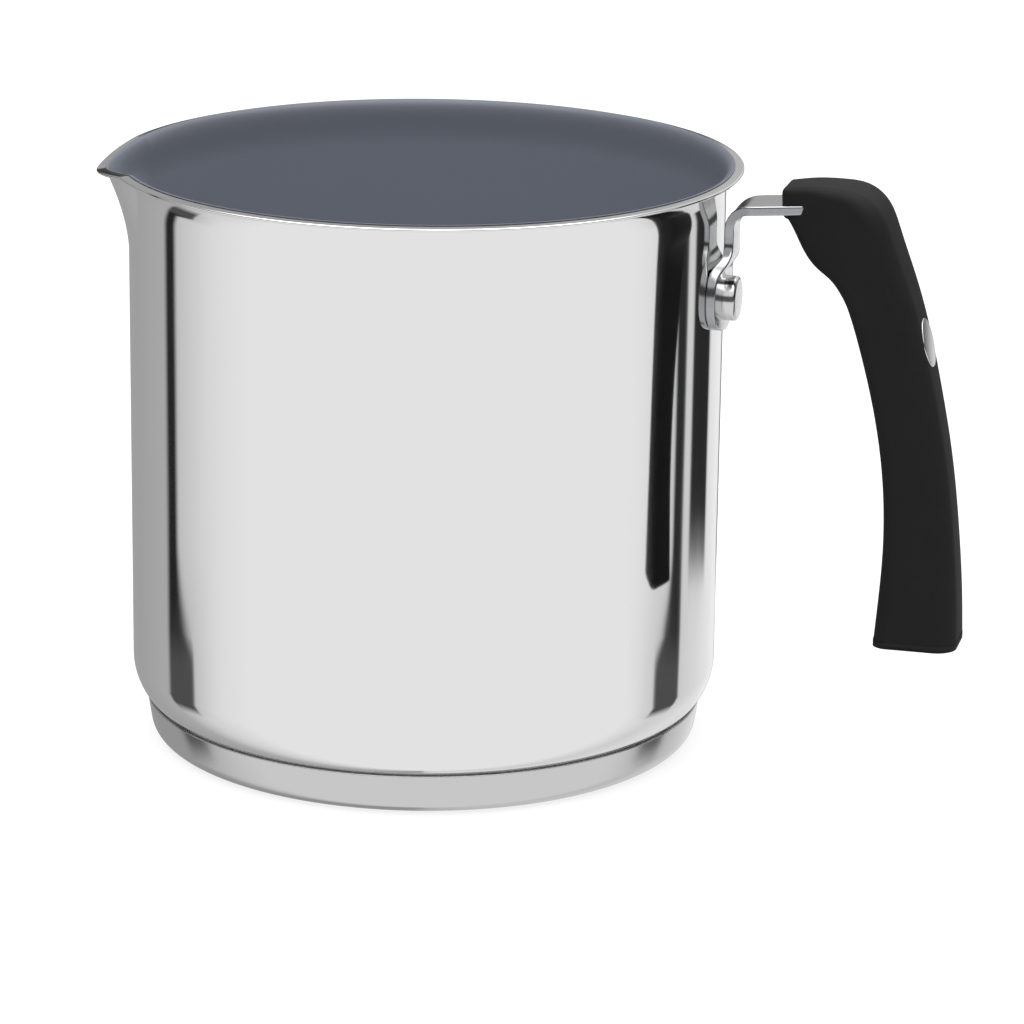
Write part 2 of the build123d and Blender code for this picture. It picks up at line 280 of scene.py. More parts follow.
def pressed_steel_satin_turned():
    """Ferritic steel capsule, turned to a satin: fine rings round the axis stretch its highlights."""
    material, tree, shader, place = new_material("pressed_steel_satin_turned")
    split = add_node(tree, "ShaderNodeSeparateXYZ", {"Vector": place})
    flat = add_node(tree, "ShaderNodeCombineXYZ", {"X": split.outputs["X"], "Y": split.outputs["Y"]})
    reach = add_node(tree, "ShaderNodeVectorMath", {0: flat.outputs[0]}, operation="LENGTH")
    rings_at = add_node(
        tree, "ShaderNodeMath", {0: reach.outputs["Value"], 1: split.outputs["Z"]}, operation="ADD"
    )
    rings = add_node(
        tree,
        "ShaderNodeTexNoise",
        {"W": rings_at.outputs[0], "Scale": 1 / (0.35 * MM), "Detail": 3.0},
        noise_dimensions="1D",
    )
    relief = add_node(
        tree, "ShaderNodeBump", {"Height": rings.outputs["Fac"], "Strength": 0.2, "Distance": 0.02 * MM}
    )
    fill(tree, shader, {"Base Color": linear("#C8C8C8"), "Metallic": 1.0, "Roughness": 0.17})
    fill(tree, shader, {"Normal": relief.outputs[0]})
    return material


def stamped_steel_tumbled():
    """Stamped stainless strap, tumbled bright: soft reflections with a few handling scratches.

    The attribute sheared is 1 on the cut edges, which stay rougher. Their darker tone is partly the
    duller cut steel and partly painted dark reflection.
    """
    material, tree, shader, place = new_material("stamped_steel_tumbled")
    scratches = add_node(tree, "ShaderNodeMapping", {"Vector": place, "Scale": (1.0, 0.15, 1.0)})
    marks = add_node(
        tree,
        "ShaderNodeTexNoise",
        {"Vector": scratches.outputs[0], "Scale": 1 / (0.5 * MM), "Detail": 5.0},
    )
    gloss = add_node(
        tree,
        "ShaderNodeMapRange",
        {"Value": marks.outputs["Fac"], "From Min": 0.3, "From Max": 0.7, "To Min": 0.10, "To Max": 0.20},
    )
    edge = add_node(tree, "ShaderNodeAttribute", attribute_name="sheared")
    # Darker cut edges: partly the duller sheared steel, partly painted dark reflection
    tone = add_node(
        tree,
        "ShaderNodeMix",
        {"Factor": edge.outputs["Fac"], "A": linear("#D0D0D0"), "B": linear("#A4A5A8")},
        data_type="RGBA",
    )
    rough = add_node(
        tree,
        "ShaderNodeMath",
        {0: edge.outputs["Fac"], 1: 0.05, 2: gloss.outputs[0]},
        operation="MULTIPLY_ADD",
    )
    fill(tree, shader, {"Base Color": tone.outputs["Result"], "Metallic": 1.0})
    fill(tree, shader, {"Roughness": rough.outputs[0]})
    return material


def moulded_phenolic_black():
    """Black phenolic, compression moulded: a dull skin with a faint mottle and fine moulding grain."""
    material, tree, shader, place = new_material("moulded_phenolic_black")
    mottle = add_node(
        tree, "ShaderNodeTexNoise", {"Vector": place, "Scale": 1 / (9.0 * MM), "Detail": 4.0}
    )
    tone = add_node(
        tree,
        "ShaderNodeMix",
        {"Factor": mottle.outputs["Fac"], "A": linear("#131314"), "B": linear("#181819")},
        data_type="RGBA",
    )
    grain = add_node(
        tree, "ShaderNodeTexNoise", {"Vector": place, "Scale": 1 / (0.25 * MM), "Detail": 2.0}
    )
    gloss = add_node(
        tree,
        "ShaderNodeMapRange",
        {"Value": mottle.outputs["Fac"], "From Min": 0.3, "From Max": 0.7, "To Min": 0.6, "To Max": 0.68},
    )
    relief = add_node(
        tree,
        "ShaderNodeBump",
        {"Height": grain.outputs["Fac"], "Strength": 0.15, "Distance": 0.02 * MM},
    )
    fill(tree, shader, {"Base Color": tone.outputs["Result"], "Specular IOR Level": 0.14})
    fill(tree, shader, {"Roughness": gloss.outputs[0], "Normal": relief.outputs[0]})
    return material


def machined_aluminium_bright():
    """Bright machined aluminium inlay: a fine grain varies its gloss and softens the glint."""
    material, tree, shader, place = new_material("machined_aluminium_bright")
    grain = add_node(
        tree, "ShaderNodeTexNoise", {"Vector": place, "Scale": 1 / (0.3 * MM), "Detail": 2.0}
    )
    gloss = add_node(
        tree,
        "ShaderNodeMapRange",
        {"Value": grain.outputs["Fac"], "From Min": 0.3, "From Max": 0.7, "To Min": 0.16, "To Max": 0.24},
    )
    fill(tree, shader, {"Base Color": linear("#CFCFCF"), "Metallic": 1.0, "Roughness": gloss.outputs[0]})
    return material


def zinc_plated_steel():
    """Zinc-plated screw steel: a pale crystalline bloom in the plating."""
    material, tree, shader, place = new_material("zinc_plated_steel")
    bloom = add_node(tree, "ShaderNodeTexVoronoi", {"Vector": place, "Scale": 1 / (0.8 * MM)})
    tone = add_node(
        tree,
        "ShaderNodeMix",
        {"Factor": bloom.outputs["Distance"], "A": linear("#A9ADB0"), "B": linear("#C4C7C9")},
        data_type="RGBA",
    )
    fill(tree, shader, {"Base Color": tone.outputs["Result"], "Metallic": 1.0, "Roughness": 0.35})
    return material


def rolled_aluminium_plain():
    """Plain rolled aluminium disc inside the base: dull, with a faint rolling grain."""
    material, tree, shader, place = new_material("rolled_aluminium_plain")
    along = add_node(tree, "ShaderNodeMapping", {"Vector": place, "Scale": (0.1, 1.0, 1.0)})
    grain = add_node(
        tree, "ShaderNodeTexNoise", {"Vector": along.outputs[0], "Scale": 1 / (0.6 * MM), "Detail": 3.0}
    )
    gloss = add_node(
        tree,
        "ShaderNodeMapRange",
        {"Value": grain.outputs["Fac"], "From Min": 0.3, "From Max": 0.7, "To Min": 0.3, "To Max": 0.45},
    )
    fill(tree, shader, {"Base Color": linear("#D2D3D5"), "Metallic": 1.0, "Roughness": gloss.outputs[0]})
    return material


def spinning_tree():
    """A tree that spins a profile round Z, and pinches it towards the profile's spout places.

    The profile's points stand in the XZ plane in order. Each carries in spout_place where it goes on
    the spout's ridge. Angles are in radians.
    """
    tree = bpy.data.node_groups.new("spin_with_spout", "GeometryNodeTree")
    tree.interface.new_socket("Profile", in_out="INPUT", socket_type="NodeSocketGeometry")
    for name, kind in (
        ("Columns", "NodeSocketInt"),
        ("Spout azimuth", "NodeSocketFloat"),
        ("Spout half angle", "NodeSocketFloat"),
        ("Spout swell", "NodeSocketFloat"),
        ("Ridge softness", "NodeSocketFloat"),
        ("Finish", "NodeSocketMaterial"),
    ):
        tree.interface.new_socket(name, in_out="INPUT", socket_type=kind)
    tree.interface.new_socket("Piece", in_out="OUTPUT", socket_type="NodeSocketGeometry")
    given = add_node(tree, "NodeGroupInput").outputs

    size = add_node(tree, "GeometryNodeAttributeDomainSize", {"Geometry": given["Profile"]})
    rows = size.outputs["Point Count"]
    sheet = add_node(
        tree,
        "GeometryNodeMeshGrid",
        {"Size X": 1.0, "Size Y": 1.0, "Vertices X": given["Columns"], "Vertices Y": rows},
    )

    # Each point's row and bearing, and how far it is drawn towards the spout's ridge
    known = {
        "index": add_node(tree, "GeometryNodeInputIndex").outputs[0],
        "rows": rows,
        "columns": given["Columns"],
        "azimuth": given["Spout azimuth"],
        "half angle": given["Spout half angle"],
        "swell": given["Spout swell"],
        "softness": given["Ridge softness"],
    }
    for name, operation, *operands in (
        ("row", "MODULO", "index", "rows"),
        ("ratio", "DIVIDE", "index", "rows"),
        ("column", "FLOOR", "ratio"),
        ("spans", "SUBTRACT", "columns", 1.0),
        ("step", "DIVIDE", 2 * pi, "spans"),
        ("bearing", "MULTIPLY", "column", "step"),
        ("east", "COSINE", "bearing"),
        ("north", "SINE", "bearing"),
        ("away", "SUBTRACT", "bearing", "azimuth"),
        ("near", "DIVIDE", "away", "half angle"),
        ("squared", "MULTIPLY", "near", "near"),
        ("soft", "MULTIPLY", "softness", "softness"),
        ("rounded", "ADD", "squared", "soft"),
        ("distance", "SQRT", "rounded"),
        ("short", "SUBTRACT", 1.0, "distance"),
        ("inside", "MAXIMUM", "short", 0.0),
        ("peak", "SUBTRACT", 1.0, "softness"),
        ("level", "DIVIDE", "inside", "peak"),
        ("share", "POWER", "level", "swell"),
    ):
        inputs = {i: known.get(operand, operand) for i, operand in enumerate(operands)}
        known[name] = add_node(tree, "ShaderNodeMath", inputs, operation=operation).outputs[0]

    position = add_node(tree, "GeometryNodeInputPosition")
    ridge = add_node(
        tree, "GeometryNodeInputNamedAttribute", {"Name": "spout_place"}, data_type="FLOAT_VECTOR"
    )
    plain_place, spout_place = (
        add_node(
            tree,
            "GeometryNodeSampleIndex",
            {"Geometry": given["Profile"], "Value": value.outputs[0], "Index": known["row"]},
            data_type="FLOAT_VECTOR",
        ).outputs[0]
        for value in (position, ridge)
    )
    drawn = add_node(
        tree,
        "ShaderNodeMix",
        {"Factor": known["share"], "A": plain_place, "B": spout_place},
        data_type="VECTOR",
    )
    part = add_node(tree, "ShaderNodeSeparateXYZ", {"Vector": drawn.outputs["Result"]}).outputs
    x, y = (
        add_node(tree, "ShaderNodeMath", {0: part["X"], 1: known[way]}, operation="MULTIPLY").outputs[0]
        for way in ("east", "north")
    )
    place = add_node(tree, "ShaderNodeCombineXYZ", {"X": x, "Y": y, "Z": part["Z"]}).outputs[0]

    shaped = add_node(
        tree, "GeometryNodeSetPosition", {"Geometry": sheet.outputs["Mesh"], "Position": place}
    )
    closed = add_node(
        tree, "GeometryNodeMergeByDistance", {"Geometry": shaped.outputs[0], "Distance": merge_distance}
    )
    smooth = add_node(tree, "GeometryNodeSetShadeSmooth", {"Geometry": closed.outputs[0]})
    real = add_node(tree, "GeometryNodeRealizeInstances", {"Geometry": smooth.outputs[0]})
    dressed = add_node(
        tree, "GeometryNodeSetMaterial", {"Geometry": real.outputs[0], "Material": given["Finish"]}
    )
    add_node(tree, "NodeGroupOutput", {"Piece": dressed.outputs[0]})
    return tree


spin_tree = spinning_tree()


def turned(name, chain, ridge_chain, material, columns, place=Matrix.Identity(4)):
    """Spin a chain of (radius, height) points in millimetres round Z and return the piece.

    ridge_chain says where each point goes on the spout's ridge, and is the chain itself where the
    piece is plainly round. place then lays the piece where it belongs.
    """
    profile = bpy.data.meshes.new(name + "_profile")
    profile.from_pydata([(r * MM, 0.0, z * MM) for r, z in chain], [], [])
    ridge = profile.attributes.new("spout_place", "FLOAT_VECTOR", "POINT")
    for point, (r, z) in zip(ridge.data, ridge_chain):
        point.vector = (r * MM, 0.0, z * MM)
    holder = bpy.data.objects.new(name + "_profile", profile)
    bpy.context.scene.collection.objects.link(holder)
    spin = holder.modifiers.new("spin", "NODES")
    spin.node_group = spin_tree
    values = {
        "Columns": columns + 1,
        "Spout azimuth": radians(spout_azimuth),
        "Spout half angle": radians(spout_half_angle),
        "Spout swell": spout_swell,
        "Ridge softness": ridge_softness,
        "Finish": material,
    }
    for item in spin_tree.interface.items_tree:
        if item.name in values:
            spin[item.identifier] = values[item.name]
    depsgraph = bpy.context.evaluated_depsgraph_get()
    mesh = bpy.data.meshes.new_from_object(holder.evaluated_get(depsgraph), depsgraph=depsgraph)
    bpy.data.objects.remove(holder)
    mesh.name = name
    face_outward(mesh)
    mesh.transform(place)
    piece = bpy.data.objects.new(name, mesh)
    bpy.context.scene.collection.objects.link(piece)
    return piece


def face_outward(mesh):
    """Turn the faces of a closed mesh outwards."""
    shape = bmesh.new()
    shape.from_mesh(mesh)
    bmesh.ops.recalc_face_normals(shape, faces=shape.faces)
    shape.to_mesh(mesh)
    shape.free()


def arc(centre, radius, start, end, count):
    """Points on an arc, angles in degrees from the outward direction, the first one included."""
    turns = [radians(start + (end - start) * i / count) for i in range(count + 1)]
    return [(centre[0] + radius * cos(t), centre[1] + radius * sin(t)) for t in turns]


def line(start, end, count):
    """Points along a line, without its last one."""
    return [
        (start[0] + (end[0] - start[0]) * i / count, start[1] + (end[1] - start[1]) * i / count)
        for i in range(count)
    ]


def curve(start, bend, end, count):
    """Points on a curve that leaves start towards bend and arrives at end from bend, without its last."""
    start, bend, end = Vector(start), Vector(bend), Vector(end)
    shares = [i / count for i in range(count)]
    return [start * (1 - t) ** 2 + bend * 2 * t * (1 - t) + end * t**2 for t in shares]


def rim_line(on_ridge, with_lip):
    """The inside of the wall from the spout's foot up over the flare, on the spout's ridge or beside it."""
    foot = Vector((bore / 2, ridge_foot))
    if on_ridge:
        flare, crown, lip = Vector(ridge_flare_at), Vector(ridge_crown_at), Vector(ridge_lip_at)
        points = curve(foot, ridge_bend, flare, count=16)
        lean = (flare - Vector(ridge_bend)).normalized()
    else:
        flare, crown, lip = Vector(flare_at), Vector(crown_at), Vector(lip_at)
        points = curve(foot, (foot + flare) / 2, flare, count=16)
        lean = Vector((0, 1))
    corner = flare + lean * (crown.y - flare.y) / lean.y
    points += curve(flare, corner, crown, count=20)
    if not with_lip:
        return points + [crown]
    steps = 6
    return points + [crown.lerp(lip, i / steps) for i in range(steps + 1)]


def rim_chain(on_ridge, skin_out, skin_in, with_lip):
    """The rim's section: up the outer side of a skin, round its edge and down the inner side."""
    inside = rim_line(on_ridge, with_lip)
    ahead = [(b - a).normalized() for a, b in zip(inside, inside[1:] + inside[-1:])]
    ahead[-1] = ahead[-2]
    ways = [((a + b) / 2).normalized() for a, b in zip([Vector((0, 1))] + ahead, ahead)]
    ways[0] = Vector((0, 1))
    outward = [Vector((way.y, -way.x)) for way in ways]
    thickness = skin_in - skin_out
    edge = min(lip_round, thickness / 2)
    outer = [point + out * (wall - skin_out) for point, out in zip(inside, outward)]
    inner = [point + out * (wall - skin_in) for point, out in zip(inside, outward)]
    rounding = []
    middle, across, onward = (outer[-1] + inner[-1]) / 2, -outward[-1], ways[-1]
    steps = 12
    for i in range(1, steps):
        t = radians(180 * i / steps) - pi / 2
        side = (thickness / 2 - edge) * (1 if t > 0 else -1) + edge * sin(t)
        rounding.append(middle + across * side + onward * edge * cos(t))
    return [tuple(point) for point in outer + rounding + inner[::-1]]


def vessel_chain(on_ridge, skin_out, skin_in, with_lip):
    """The whole section of a skin of the vessel, from the axis underneath to the axis inside."""
    hub = (body_radius - corner_radius, base_height + corner_radius)
    underneath, bottom = base_height + skin_out, base_height + skin_in
    outside, inside = body_radius - skin_out, body_radius - skin_in
    chain = line((0, underneath), (hub[0], underneath), count=6)
    chain += arc(hub, corner_radius - skin_out, -90, 0, count=18)
    chain += line((outside, hub[1]), (outside, ridge_foot), count=6)[1:]
    chain += rim_chain(on_ridge, skin_out, skin_in, with_lip)
    chain += line((inside, ridge_foot), (inside, hub[1]), count=6)[1:]
    chain += arc(hub, corner_radius - skin_in, 0, -90, count=18)
    chain += line((hub[0], bottom), (0, bottom), count=6)[1:]
    return chain + [(0, bottom)]


def vessel_skin(name, skin_out, skin_in, with_lip, material, node):
    """One skin of the vessel, between two depths below its outer face, with or without the flat lip."""
    piece = turned(
        name,
        vessel_chain(False, skin_out, skin_in, with_lip),
        vessel_chain(True, skin_out, skin_in, with_lip),
        material,
        columns=640,
    )
    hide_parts(node)
    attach(piece, "root")


def cap_chain():
    """The base capsule's section, with its inner and outer corners rounded."""
    reach = cap_rim_radius - cap_sheet - (body_radius - corner_radius)
    rim = base_height + corner_radius - sqrt(corner_radius**2 - reach**2) - seam_gap
    taper = degrees(atan2(cap_rim_radius - cap_foot_radius, rim))
    hub = (cap_foot_radius - cap_corner_radius + cap_corner_out, cap_corner_radius)
    edge = cap_rim_edge
    chain = line((0, 0), (hub[0], 0), count=8)
    chain += arc(hub, cap_corner_radius, -90, -taper, count=14)
    chain += arc((cap_rim_radius - edge, rim - edge), edge, -taper, 90, count=5)
    chain += arc((cap_rim_radius - cap_sheet + edge, rim - edge), edge, 90, 180 - taper, count=5)
    chain += arc(hub, cap_corner_radius - cap_sheet, -taper, -90, count=14)
    chain += line((hub[0], cap_sheet), (0, cap_sheet), count=8)[1:]
    return chain + [(0, cap_sheet)]


def base_capsule(material):
    """The base capsule, turned round the pan's axis."""
    capsule = turned("base_capsule", cap_chain(), cap_chain(), material, columns=360)
    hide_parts("base_cap")
    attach(capsule, "root")


def strap_spot(along):
    """A place on the strap's centre line: its radius, its height, and how far the strap leans out."""
    pad = body_radius + seat_gap + strap / 2
    turn = acos(1 - jog_offset / (2 * jog_radius))
    jog_end = bend_start + (pad_foot + pad_height - bend_start) * neck_share
    jog_start = jog_end - 2 * jog_radius * sin(turn)
    at = along - (jog_start - pad_foot)
    if at < 0:
        return pad, pad_foot + along, 0.0
    if at < jog_radius * turn:
        lean = at / jog_radius
        return pad + jog_radius * (1 - cos(lean)), jog_start + jog_radius * sin(lean), lean
    if at < 2 * jog_radius * turn:
        lean = 2 * turn - at / jog_radius
        return pad + jog_offset - jog_radius * (1 - cos(lean)), jog_end - jog_radius * sin(lean), lean
    at -= 2 * jog_radius * turn
    if at < bend_start - jog_end:
        return pad + jog_offset, jog_end + at, 0.0
    at -= bend_start - jog_end
    full = pi / 2 - radians(strap_rise)
    lean = min(at / bend_radius, full)
    run = max(0.0, at - bend_radius * full)
    radius = pad + jog_offset + bend_radius * (1 - cos(lean)) + run * sin(lean)
    return radius, bend_start + bend_radius * sin(lean) + run * cos(lean), lean


def softened(points, radii, step):
    """A run of straight lines with its inner corners rounded, as closely set points."""
    made = [Vector(points[0])]
    for before, corner, after, radius in zip(points, points[1:], points[2:], radii):
        before, corner, after = Vector(before), Vector(corner), Vector(after)
        back, on = (before - corner).normalized(), (after - corner).normalized()
        half = back.angle(on) / 2
        reach = radius / (sin(half) / cos(half))
        hub = corner + (back + on).normalized() * radius / sin(half)
        first, last = corner + back * reach - hub, corner + on * reach - hub
        spread = first.angle(last)
        count = max(4, int(radius * spread / step))
        for i in range(count + 1):
            share = i / count
            ray = first * sin((1 - share) * spread) + last * sin(share * spread)
            made.append(hub + ray / sin(spread))
    made.append(Vector(points[-1]))
    fine = [made[0]]
    for low, high in zip(made, made[1:]):
        count = max(1, round((high - low).length / step))
        fine += [low.lerp(high, i / count) for i in range(1, count + 1)]
    return fine


def strap_outline():
    """Half the strap's flat outline, from the middle of its foot to the middle of its far end."""
    bow = (pad_half**2 + pad_crown**2) / (2 * pad_crown)
    reach, side = bow - pad_corner, pad_half - pad_corner
    hub = Vector((side, bow - sqrt(reach**2 - side**2)))
    meet = asin(hub.x / reach)
    steps = 16
    foot = [
        Vector((bow * sin(meet * i / steps), bow - bow * cos(meet * i / steps))) for i in range(steps)
    ]
    corner = arc((0, 0), pad_corner, degrees(meet) - 90, 0, count=14)
    foot += [hub + Vector(spot) for spot in corner]
    upper = softened(
        [tuple(foot[-1]), *strap_side, (strap_half, strap_length), (0, strap_length)],
        (shoulder_radius, waist_radius, neck_radius, neck_radius, tang_corner),
        outline_step,
    )
    return foot + upper[1:]


def finished(shape, name, material):
    """Turn a closed skin into a smooth piece, with its doubles merged and its faces outwards."""
    bmesh.ops.remove_doubles(shape, verts=shape.verts, dist=merge_distance)
    bmesh.ops.recalc_face_normals(shape, faces=shape.faces)
    mesh = bpy.data.meshes.new(name)
    shape.to_mesh(mesh)
    shape.free()
    mesh.materials.append(material)
    mesh.shade_smooth()
    piece = bpy.data.objects.new(name, mesh)
    bpy.context.scene.collection.objects.link(piece)
    return piece


def bracket(material):
    """The strap: its outline carried inward ring by ring, round the broken edges and over both faces."""
    half_outline = strap_outline()
    outline = half_outline[:-1] + [Vector((-p.x, p.y)) for p in reversed(half_outline[1:])]
    count = len(outline)
    thick = strap / 2
    turns = [radians(90 * i / 4) for i in range(5)]
    rings = [(edge_round * (1 - cos(t)), thick - edge_round * (1 - sin(t))) for t in turns]
    rings += [(edge_round + face_inset, thick)]
    # Both faces close on a line along the strap's middle, between these two places
    spine_start, spine_end = pad_half * spine_share, strap_length - strap_half
    shape = bmesh.new()
    sheared = shape.verts.layers.float.new("sheared")

    def place(y, along, off):
        """Bend a point of the flat strap to its place: y across, along it, and off its middle."""
        radius, height, lean = strap_spot(along)
        reach = radius + off * cos(lean)
        turn = y / reach
        return (reach * cos(turn) * MM, reach * sin(turn) * MM, (height - off * sin(lean)) * MM)

    made = []
    for i, spot in enumerate(outline):
        way = (outline[(i + 1) % count] - outline[i - 1]).normalized()
        inward = Vector((-way.y, way.x))
        spine = Vector((0, min(max(spot.y, spine_start), spine_end)))
        path = [(spot + inward * inset, off) for inset, off in rings]
        rim = path[-1][0]
        path += [(rim.lerp(spine, share), thick) for share in (0.25, 0.5, 0.75, 1.0)]
        back = [(at, -off) for at, off in reversed(path)]
        path = back + [(spot, -thick / 2), (spot, thick / 2)] + path
        made.append([shape.verts.new(place(at.x, at.y, off)) for at, off in path])
        for vert, (at, off) in zip(made[-1], path):
            vert[sheared] = 1.0 if (at - spot).length < edge_round * sheared_share else 0.0
    for i in range(count):
        low, high = made[i], made[(i + 1) % count]
        for j in range(len(low) - 1):
            shape.faces.new((low[j], low[j + 1], high[j + 1], high[j]))
    piece = finished(shape, "strap_bracket", material)
    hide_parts("handle_bracket")
    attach(piece, "root")


def rivet(material):
    """Head, shank and tail of the rivet as one turned piece along +X."""
    pad_face = body_radius + seat_gap + strap
    tail_face = body_radius - wall - bond_gap - coat - seat_gap
    head_end, tail_end = pad_face + rivet_head, tail_face - rivet_tail
    head_hub = (rivet_head_radius - rivet_head_edge, head_end - rivet_head_edge)
    tail_hub = (rivet_tail_radius - rivet_tail_edge, tail_end + rivet_tail_edge)
    chain = [(0, tail_end)]
    chain += arc(tail_hub, rivet_tail_edge, -90, 0, count=8)
    chain += [(rivet_tail_radius, tail_face), (rivet_shank, tail_face), (rivet_shank, pad_face)]
    chain += [(rivet_head_radius, pad_face - rivet_head_set)]
    chain += arc(head_hub, rivet_head_edge, 0, 90, count=10)
    chain += [(0, head_end)]
    lay = Matrix.Translation((0, 0, rivet_height * MM)) @ Matrix.Rotation(radians(90), 4, "Y")
    piece = turned("formed_rivet", chain, chain, material, columns=96, place=lay)
    piece.data.set_sharp_from_angle(angle=radians(40))
    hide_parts("bracket_rivet")
    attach(piece, "root")


# Sections of the grip from its nose to its foot: shares of the span out from the nose and of the
# length up from the foot, for the hand's side and the outer side, and of the web's width.
grip_section_shares = (
    (0.058, 0.925, 0.050, 0.9930, 0.585),
    (0.093, 0.903, 0.163, 0.9995, 0.655),
    (0.152, 0.861, 0.293, 1.0, 0.77),
    (0.222, 0.829, 0.402, 0.995, 0.875),
    (0.290, 0.809, 0.485, 0.978, 0.955),
    (0.348, 0.780, 0.553, 0.944, 1.0),
    (0.391, 0.744, 0.613, 0.882, 1.0),
    (0.454, 0.662, 0.722, 0.758, 0.965),
    (0.541, 0.515, 0.852, 0.549, 0.90),
    (0.592, 0.372, 0.925, 0.390, 0.86),
    (0.605, 0.230, 0.970, 0.235, 0.86),
    (0.592, 0.120, 0.992, 0.120, 0.89),
    (0.574, 0.020, 1.002, 0.020, 0.92),
)


def smooth_rows(rows, count):
    """Pass a natural cubic through the grip's sections and return count + 1 rows along it."""
    table = np.array(rows, float)
    out = (table[:, 0] + table[:, 2]) / 2 * grip_span
    up = (table[:, 1] + table[:, 3]) / 2 * grip_length
    steps = np.linalg.norm(np.diff(np.stack([out, up], 1), axis=0), axis=1)
    knots = np.concatenate([[0], np.cumsum(steps**knot_power)])
    gaps = np.diff(knots)
    n = len(knots)
    system = np.zeros((n, n))
    right = np.zeros((n, table.shape[1]))
    system[0, 0] = system[-1, -1] = 1
    for i in range(1, n - 1):
        system[i, i - 1 : i + 2] = gaps[i - 1], 2 * (gaps[i - 1] + gaps[i]), gaps[i]
        right[i] = 6 * ((table[i + 1] - table[i]) / gaps[i] - (table[i] - table[i - 1]) / gaps[i - 1])
    bend = np.linalg.solve(system, right)
    made = []
    for t in np.linspace(0, knots[-1], count + 1):
        i = min(int(np.searchsorted(knots, t, side="right")) - 1, n - 2)
        h, a, b = gaps[i], knots[i + 1] - t, t - knots[i]
        made.append(
            bend[i] * a**3 / (6 * h)
            + bend[i + 1] * b**3 / (6 * h)
            + (table[i] / h - bend[i] * h / 6) * a
            + (table[i + 1] / h - bend[i + 1] * h / 6) * b
        )
    return made


grip_rows = smooth_rows(grip_section_shares, count=120)


def grip_sides(row):
    """Where a section's hand's side and outer side lie, as (out, up) places."""
    inner = Vector((nose + grip_span * row[0], grip_foot + grip_length * row[1]))
    outer = Vector((nose + grip_span * row[2], grip_foot + grip_length * row[3]))
    return inner, outer


def rounded_section(inner, outer, half_width, corners, inset, shift):
    """A ring of points round one section, drawn in by inset and moved by shift.

    corners holds the radii on the outer side and on the hand's side.
    """
    middle = (inner + outer) / 2
    thick = outer - inner
    half = thick.length / 2 - inset
    axis = thick.normalized()
    wide = half_width - inset
    steps = 8
    ring = []
    for sign_a, sign_y, first in ((1, 1, 0), (-1, 1, 90), (-1, -1, 180), (1, -1, 270)):
        corner = corners[0] if sign_a > 0 else corners[1]
        largest = min(corner - inset * corner_loss, half * corner_share, wide * corner_share)
        radius = max(least_corner, largest)
        for k in range(steps + 1):
            turn = radians(first + 90 * k / steps)
            a = sign_a * (half - radius) + radius * cos(turn)
            y = sign_y * (wide - radius) + radius * sin(turn)
            spot = middle + axis * a + shift
            ring.append((spot.x * MM, y * MM, spot.y * MM))
    return ring


def nose_rings():
    """Rings round the grip's nose, from its flat end back to the first section."""
    inner, outer = grip_sides(grip_rows[0])
    half_width = grip_width * grip_rows[0][4] / 2
    steps = 8
    rings = []
    for i in range(steps, 0, -1):
        turn = pi / 2 * i / steps
        inset, shift = nose_round * (1 - cos(turn)), Vector((-1, 0)) * nose_round * sin(turn)
        rings.append(rounded_section(inner, outer, half_width, nose_corners, inset, shift))
    return rings


def foot_rings():
    """Rings round the edge of the grip's foot, down to its flat end."""
    inner, outer = grip_sides(grip_rows[-1])
    half_width = grip_width * grip_rows[-1][4] / 2
    steps = 6
    rings = []
    for i in range(steps + 1):
        turn = pi / 2 * i / steps
        inset, shift = foot_round * (1 - cos(turn)), Vector((0, foot_round * (1 - sin(turn))))
        rings.append(rounded_section(inner, outer, half_width, grip_corners, inset, shift))
    return rings


def grip(material):
    """The moulded grip, lofted through its sections, with rounded ends."""
    rings = nose_rings()
    growth_end = round(corner_growth * (len(grip_rows) - 1))
    for i, row in enumerate(grip_rows):
        share = min(1.0, i / growth_end)
        corners = [a + (b - a) * share for a, b in zip(nose_corners, grip_corners)]
        half_width = grip_width * row[4] / 2
        rings.append(rounded_section(*grip_sides(row), half_width, corners, 0, Vector((0, 0))))
    # Sections that reach down into the foot's rounding make way for its own rings
    lowest = (grip_foot + foot_round) * MM
    rings = [ring for ring in rings if min(spot[2] for spot in ring) > lowest]
    rings += foot_rings()
    shape = bmesh.new()
    made = [[shape.verts.new(spot) for spot in ring] for ring in rings]
    size = len(made[0])
    for low, high in zip(made, made[1:]):
        for k in range(size):
            shape.faces.new((low[k], low[(k + 1) % size], high[(k + 1) % size], high[k]))
    shape.faces.new(made[0])
    shape.faces.new(made[-1])
    piece = finished(shape, "moulded_grip", material)
    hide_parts("handle_grip")
    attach(piece, "root")


def inlay(material):
    """The bare round plate, seated on the grip's outer line at the height of its construction solid."""
    low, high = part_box("handle_medallion")
    centre = (low + high) / 2
    outer_places = [grip_sides(row)[1] for row in grip_rows]
    outer_line = [Vector((spot.x, 0, spot.y)) * MM for spot in outer_places]
    reach = inlay_radius * MM
    above = min(outer_line, key=lambda spot: abs(spot.z - centre.z - reach))
    below = min(outer_line, key=lambda spot: abs(spot.z - centre.z + reach))
    along = (above - below).normalized()
    out = Vector((along.z, 0, -along.x))
    seat = below + along * along.dot(centre - below) + out * inlay_stand * MM
    chain = [(0, -inlay_sheet), (inlay_radius, -inlay_sheet)]
    chain += arc((inlay_radius - inlay_edge, -inlay_edge), inlay_edge, 0, 90, count=6)
    chain += [(0, 0)]
    face = Matrix.Translation(seat) @ Matrix.Rotation(atan2(out.x, out.z), 4, "Y")
    piece = turned("bare_inlay", chain, chain, material, columns=96, place=face)
    piece.data.set_sharp_from_angle(angle=radians(35))
    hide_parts("handle_medallion")
    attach(piece, "root")


steel = drawn_steel_mirror_polished()
satin = pressed_steel_satin_turned()
strap_steel = stamped_steel_tumbled()
phenolic = moulded_phenolic_black()

